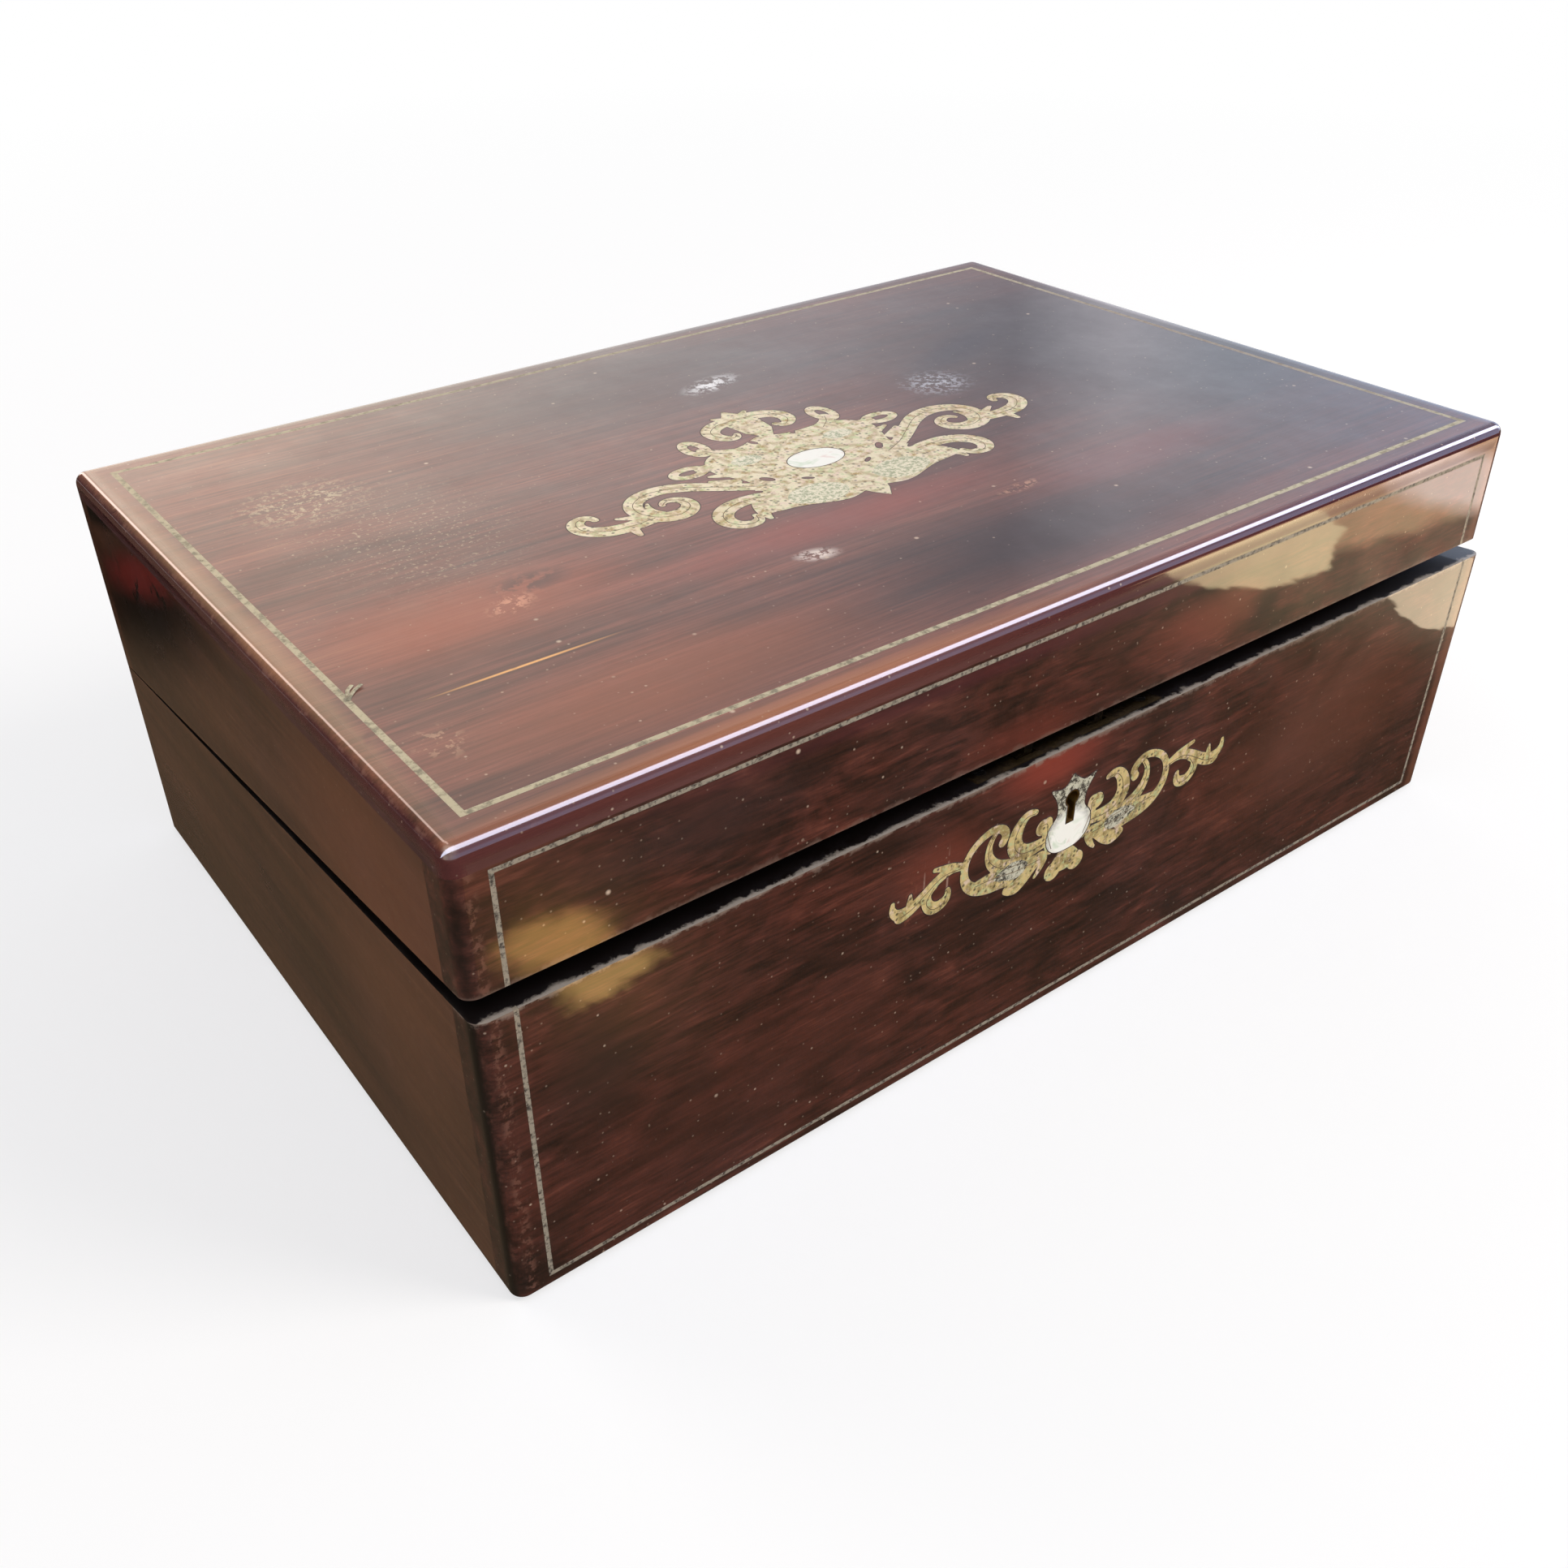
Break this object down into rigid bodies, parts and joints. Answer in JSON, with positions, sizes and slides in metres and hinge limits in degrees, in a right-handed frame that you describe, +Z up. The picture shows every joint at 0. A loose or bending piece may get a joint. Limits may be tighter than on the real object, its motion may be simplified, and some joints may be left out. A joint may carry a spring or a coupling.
{
  "type": "writing slope",
  "caption": "Hinged rosewood writing slope, split on a slant, with brass and pearl inlay, a box lock, leather writing flaps and a pen and ink compartment.",
  "frame": {"origin": "on the table under the middle of the base's carcase", "axes": "+Z up, -Y to the lock side, +Y to the hinges, +X to the right seen from the lock side"},
  "size_m": [0.356, 0.2407, 0.1315],
  "materials": {
    "rosewood": "French polished, worn",
    "inner_wood": "oiled",
    "stringing_brass": "dull, tarnished",
    "inlay_brass": "engraved, softly polished",
    "fitting_brass": "satin, aged",
    "mother_of_pearl": "polished",
    "steel": "aged",
    "writing_leather": "worn skiver",
    "baize": "matt wool",
    "ink_glass": "clear"
  },
  "bodies": {
    "base": {"base_front_panel": "rosewood", "base_back_panel": "rosewood", "base_left_panel": "rosewood", "base_right_panel": "rosewood", "base_bottom_board": "inner_wood", "base_baize": "baize", "base_front_stringing": "stringing_brass", "escutcheon_scrolls": "inlay_brass", "escutcheon_pearl": "mother_of_pearl", "keyhole_liner": "fitting_brass", "lock_case": "steel", "lock_key_pin": "steel", "lock_selvedge": "fitting_brass", "lock_screws": "steel", "base_hinge_leaf_left": "fitting_brass", "base_hinge_leaf_right": "fitting_brass", "hinge_pins": "fitting_brass", "base_hinge_screws": "steel", "base_bearer_left": "inner_wood", "base_bearer_right": "inner_wood", "pen_partition": "inner_wood", "ink_divider_left": "inner_wood", "ink_divider_right": "inner_wood", "pen_tray_rests": "inner_wood", "pen_tray": "inner_wood", "ink_bottle_left": "ink_glass", "ink_bottle_right": "ink_glass", "ink_collar_left": "fitting_brass", "ink_collar_right": "fitting_brass", "ink_cap_pin_left": "fitting_brass", "ink_cap_pin_right": "fitting_brass"},
    "lid": {"lid_top_board": "rosewood", "lid_front_panel": "rosewood", "lid_back_panel": "rosewood", "lid_left_panel": "rosewood", "lid_right_panel": "rosewood", "lid_top_stringing": "stringing_brass", "lid_front_stringing": "stringing_brass", "lid_cartouche": "inlay_brass", "lid_pearl": "mother_of_pearl", "lid_hinge_leaf_left": "fitting_brass", "lid_hinge_leaf_right": "fitting_brass", "lid_hinge_screws": "steel", "lid_hook_plate": "fitting_brass", "lid_hook_screws": "steel", "lid_bearer_left": "inner_wood", "lid_bearer_right": "inner_wood", "lid_bearer_front": "inner_wood"},
    "base_flap": {"base_flap_board": "inner_wood", "base_flap_leather": "writing_leather", "base_flap_tab": "writing_leather", "base_flap_pivots": "fitting_brass"},
    "lid_flap": {"lid_flap_board": "inner_wood", "lid_flap_leather": "writing_leather", "lid_flap_tab": "writing_leather", "lid_flap_pivots": "fitting_brass"},
    "bolt": {"lock_bolt": "steel"},
    "ink_cap_left": {"ink_cap_left": "fitting_brass"},
    "ink_cap_right": {"ink_cap_right": "fitting_brass"}
  },
  "joints": [
    {"name": "lid_hinge", "type": "hinge", "parent": "base", "child": "lid", "pos_m": [0, 0.1195, 0.0635], "axis": [-1, 0, 0], "range_deg": [-1.1, 178.9]},
    {"name": "base_flap_hinge", "type": "hinge", "parent": "base", "child": "base_flap", "pos_m": [0, 0.10519, 0.06028], "axis": [-1, 0, 0], "range_deg": [-0.25, 36]},
    {"name": "lid_flap_hinge", "type": "hinge", "parent": "lid", "child": "lid_flap", "pos_m": [0, 0.10634, 0.06998], "axis": [1, 0, 0], "range_deg": [-0.25, 36]},
    {"name": "lock_bolt_slide", "type": "slide", "parent": "base", "child": "bolt", "axis": [1, 0, 0], "range_m": [0, 0.0033]},
    {"name": "ink_cap_left_hinge", "type": "hinge", "parent": "base", "child": "ink_cap_left", "pos_m": [-0.149, -0.076, 0.0553], "axis": [-1, 0, 0], "range_deg": [0, 105]},
    {"name": "ink_cap_right_hinge", "type": "hinge", "parent": "base", "child": "ink_cap_right", "pos_m": [0.149, -0.076, 0.0553], "axis": [-1, 0, 0], "range_deg": [0, 105]}
  ],
  "couplings": [
    {"joint": "base_flap_hinge", "follows": "lid_hinge", "ratio": 0.2},
    {"joint": "lid_flap_hinge", "follows": "lid_hinge", "ratio": 0.2}
  ]
}
